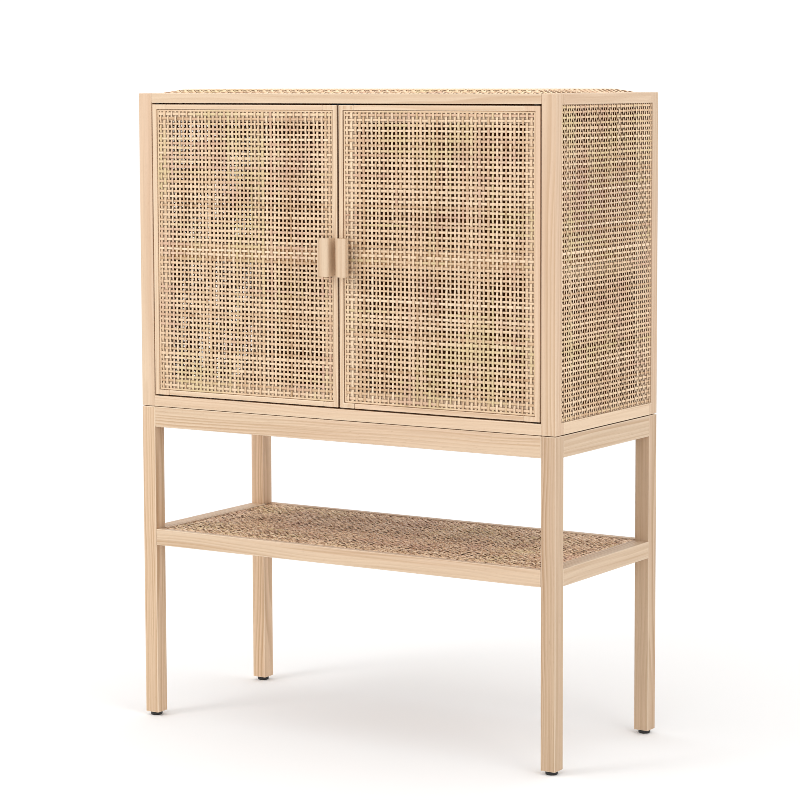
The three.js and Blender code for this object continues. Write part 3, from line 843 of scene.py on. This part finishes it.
# ---------------------------------------------------------------- screws
def screw_shape():
    """A pan-head screw's head with a cross recess, its seat at the origin and its top towards +Z."""
    turns = 28
    profile = [(1.0, 0.0), (1.0, 0.28), (0.93, 0.55), (0.76, 0.80), (0.50, 0.95), (0.24, 1.0)]
    points = []
    for radius, rise in profile:
        for k in range(turns):
            angle = 2 * math.pi * k / turns
            reach = SCREW_RADIUS * radius
            points.append((reach * math.cos(angle), reach * math.sin(angle), SCREW_RISE * rise))
    points += [(0, 0, 0), (0, 0, SCREW_RISE)]
    faces = []
    for ring in range(len(profile) - 1):
        for k in range(turns):
            a, b = ring * turns + k, ring * turns + (k + 1) % turns
            faces.append((a, b, b + turns, a + turns))
    last = (len(profile) - 1) * turns
    for k in range(turns):
        faces.append((last + k, last + (k + 1) % turns, len(points) - 1))
        faces.append(((k + 1) % turns, k, len(points) - 2))
    mesh = bpy.data.meshes.new("screw_head")
    mesh.from_pydata(points, [], faces)
    head = put_in_scene("screw_head", mesh)
    # The recess: a cross that narrows as it goes down.
    arm, half = SCREW_RADIUS * 0.56, SCREW_RADIUS * 0.13
    outline = [
        (half, half), (half, arm), (-half, arm), (-half, half), (-arm, half), (-arm, -half),
        (-half, -half), (-half, -arm), (half, -arm), (half, -half), (arm, -half), (arm, half),
    ]
    top = [(x, y, SCREW_RISE * 1.4) for x, y in outline]
    bottom = [(x * 0.55, y * 0.55, SCREW_RISE * 0.30) for x, y in outline]
    count = len(outline)
    walls = [(k, (k + 1) % count, count + (k + 1) % count, count + k) for k in range(count)]
    cutter_mesh = bpy.data.meshes.new("screw_recess")
    ends = [tuple(reversed(range(count))), tuple(range(count, 2 * count))]
    cutter_mesh.from_pydata(top + bottom, [], walls + ends)
    cutter = put_in_scene("screw_recess", cutter_mesh)
    cut = head.modifiers.new("recess", "BOOLEAN")
    cut.operation = "DIFFERENCE"
    cut.solver = "EXACT"
    cut.object = cutter
    bpy.context.view_layer.update()
    shaped = bpy.data.meshes.new_from_object(head.evaluated_get(bpy.context.evaluated_depsgraph_get()))
    bpy.data.objects.remove(head)
    bpy.data.objects.remove(cutter)
    return shaped


SCREW = screw_shape()


def screws(name, body, out, out_sign, places, seed):
    """Screw heads seated at the given points, each turned its own way."""
    rng = np.random.default_rng(seed)
    points, faces = [], []
    upright = Vector(unit(out, out_sign)).to_track_quat("Z", "Y").to_matrix().to_4x4()
    for place in places:
        spin = Matrix.Rotation(rng.uniform(0, math.pi), 4, "Z")
        turn = Matrix.Translation(Vector(place)) @ upright @ spin
        start = len(points)
        points += [turn @ vertex.co for vertex in SCREW.vertices]
        faces += [[start + index for index in polygon.vertices] for polygon in SCREW.polygons]
    mesh = bpy.data.meshes.new(name)
    mesh.from_pydata(points, [], faces)
    piece = put_in_scene(name, mesh)
    ease_edges(piece, SCREW_EASING, segments=1)
    dress(piece, steel_look(name + "_steel", seed, out))
    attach(piece, body)


for side, body in (("left", "left_door"), ("right", "right_door")):
    grip_low, grip_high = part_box(f"door_{side}_handle")
    stile_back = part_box(f"door_{side}_inner_stile")[1][Y]
    stem = grip_high[X] - HANDLE_STEM_HALF if side == "left" else grip_low[X] + HANDLE_STEM_HALF
    middle = (grip_low[Z] + grip_high[Z]) / 2
    screws(
        f"{side}_handle_screws",
        body,
        Y,
        1,
        [(stem, stile_back, middle + offset) for offset in (-HANDLE_SCREW_OFFSET, HANDLE_SCREW_OFFSET)],
        SEED + 601,
    )
    cleat_low, cleat_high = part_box(f"shelf_cleat_{side}")
    face, out_sign = (cleat_high[X], 1) if side == "left" else (cleat_low[X], -1)
    height = (cleat_low[Z] + cleat_high[Z]) / 2
    screws(
        f"{side}_cleat_screws",
        "carcass",
        X,
        out_sign,
        [(face, cleat_low[Y] + CLEAT_SCREW_START + CLEAT_SCREW_STEP * k, height) for k in range(3)],
        SEED + 602,
    )

panel_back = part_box("back_panel")[1][Y]
shelf_low, shelf_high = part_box("inner_shelf")
shelf_line = (shelf_low[Z] + shelf_high[Z]) / 2
screws(
    "back_panel_screws",
    "carcass",
    Y,
    1,
    [(BACK_SCREW_START + BACK_SCREW_STEP * k, panel_back, shelf_line) for k in range(5)],
    SEED + 603,
)

# ---------------------------------------------------------------- floor, light and camera
floor_mesh = bpy.data.meshes.new("floor")
floor_corners = [(FLOOR_REACH * x, FLOOR_REACH * y, 0) for x, y in ((-1, -1), (1, -1), (1, 1), (-1, 1))]
floor_mesh.from_pydata(floor_corners, [], [(0, 1, 2, 3)])
floor = put_in_scene("floor", floor_mesh)
floor_look = Look("floor_paint")
floor_grain = floor_look.noise(floor_look.coordinates(), 2)
floor_tones = [(0.3, (0.90, 0.90, 0.90, 1)), (0.7, (0.92, 0.92, 0.92, 1))]
floor_look.surface("Base Color", floor_look.ramp(floor_grain, floor_tones))
floor_look.shader.inputs["Roughness"].default_value = 0.9
floor_look.shader.inputs["Specular IOR Level"].default_value = 0.1
floor_mesh.materials.append(floor_look.material)
floor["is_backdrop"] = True

world = bpy.data.worlds.new("studio")
world.use_nodes = True
world.node_tree.nodes["Background"].inputs["Color"].default_value = (1.0, 1.0, 1.0, 1)
world.node_tree.nodes["Background"].inputs["Strength"].default_value = 1.12
bpy.context.scene.world = world


def softbox(name, azimuth, elevation, distance, size, watts, colour):
    """A square light aimed at the cabinet. Azimuth 0 is in front of it, and 90 is on its right."""
    data = bpy.data.lights.new(name, "AREA")
    data.shape = "SQUARE"
    data.size = size
    data.energy = watts
    data.color = colour
    light = put_in_scene(name, data)
    a, e = math.radians(azimuth), math.radians(elevation)
    back = Vector((math.sin(a) * math.cos(e), -math.cos(a) * math.cos(e), math.sin(e)))
    light.location = Vector((0, 0, 0.6)) + back * distance
    light.rotation_euler = (-back).to_track_quat("-Z", "Y").to_euler()


softbox("key", -32, 34, 3.6, 1.1, 25, (1.0, 0.985, 0.96))
softbox("fill", 70, 30, 4.2, 2.2, 24, (1.0, 0.99, 0.975))

camera_data = bpy.data.cameras.new("camera")
camera_data.sensor_width = 36
camera_data.lens = CAMERA_LENS
camera_data.shift_y = CAMERA_SHIFT
camera_data.clip_start = 0.05
camera_data.clip_end = 200
camera = put_in_scene("camera", camera_data)
camera.matrix_world = (
    Matrix.Translation(CAMERA_PLACE)
    @ Matrix.Rotation(math.radians(CAMERA_HEADING), 4, "Z")
    @ Matrix.Rotation(math.radians(90 - CAMERA_DIP), 4, "X")
    @ Matrix.Rotation(math.radians(CAMERA_ROLL), 4, "Z")
)
bpy.context.scene.camera = camera
bpy.context.scene.view_settings.view_transform = "Standard"
bpy.context.scene.cycles.filter_width = 0.8

low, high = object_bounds()
